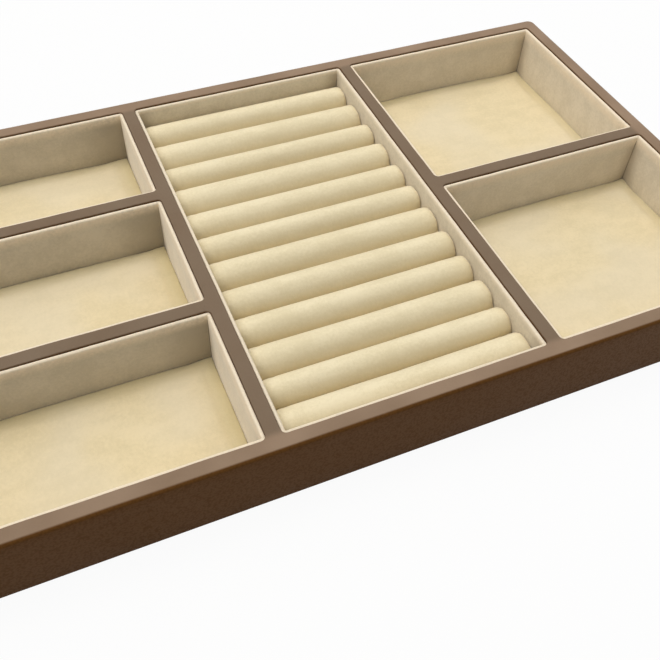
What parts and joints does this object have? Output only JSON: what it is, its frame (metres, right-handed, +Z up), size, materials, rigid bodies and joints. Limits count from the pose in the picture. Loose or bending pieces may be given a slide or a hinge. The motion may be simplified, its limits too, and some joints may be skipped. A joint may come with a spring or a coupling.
{
  "type": "jewelry tray",
  "caption": "Flat open jewelry tray: a leatherette-covered frame and dividers around velvet-lined wells, the middle one filled with a lift-out bank of ring rolls.",
  "frame": {"origin": "centre of the flat underside", "axes": "+X along the long side to the right, +Y to the back, +Z up out of the wells"},
  "size_m": [0.4284, 0.26, 0.039],
  "materials": {
    "board": "raw fibreboard",
    "leatherette": "satin, fine grain",
    "velvet": "short velvet nap",
    "foam": "open cell foam",
    "base_cloth": "matt suede cloth"
  },
  "bodies": {
    "tray": {"front_rail": "board", "back_rail": "board", "left_rail": "board", "right_rail": "board", "left_divider": "board", "right_divider": "board", "left_front_cross_divider": "board", "left_rear_cross_divider": "board", "right_cross_divider": "board", "base_panel": "board", "base_cloth": "base_cloth", "leatherette_cover": "leatherette", "front_left_well_front_wall": "velvet", "front_left_well_back_wall": "velvet", "front_left_well_left_wall": "velvet", "front_left_well_right_wall": "velvet", "front_left_well_floor_pad": "velvet", "middle_left_well_front_wall": "velvet", "middle_left_well_back_wall": "velvet", "middle_left_well_left_wall": "velvet", "middle_left_well_right_wall": "velvet", "middle_left_well_floor_pad": "velvet", "rear_left_well_front_wall": "velvet", "rear_left_well_back_wall": "velvet", "rear_left_well_left_wall": "velvet", "rear_left_well_right_wall": "velvet", "rear_left_well_floor_pad": "velvet", "ring_well_front_wall": "velvet", "ring_well_back_wall": "velvet", "ring_well_left_wall": "velvet", "ring_well_right_wall": "velvet", "ring_well_floor_pad": "velvet", "front_right_well_front_wall": "velvet", "front_right_well_back_wall": "velvet", "front_right_well_left_wall": "velvet", "front_right_well_right_wall": "velvet", "front_right_well_floor_pad": "velvet", "rear_right_well_front_wall": "velvet", "rear_right_well_back_wall": "velvet", "rear_right_well_left_wall": "velvet", "rear_right_well_right_wall": "velvet", "rear_right_well_floor_pad": "velvet"},
    "ring_insert": {"ring_insert_carrier": "velvet", "ring_roll_01": "velvet", "ring_roll_02": "velvet", "ring_roll_03": "velvet", "ring_roll_04": "velvet", "ring_roll_05": "velvet", "ring_roll_06": "velvet", "ring_roll_07": "velvet", "ring_roll_08": "velvet", "ring_roll_09": "velvet", "ring_roll_10": "velvet", "ring_roll_11": "velvet", "ring_roll_12": "velvet", "ring_roll_cores": "foam"}
  },
  "joints": [
    {"name": "ring_insert_lift", "type": "slide", "parent": "tray", "child": "ring_insert", "axis": [0, 0, 1], "range_m": [0, 0.04]}
  ]
}
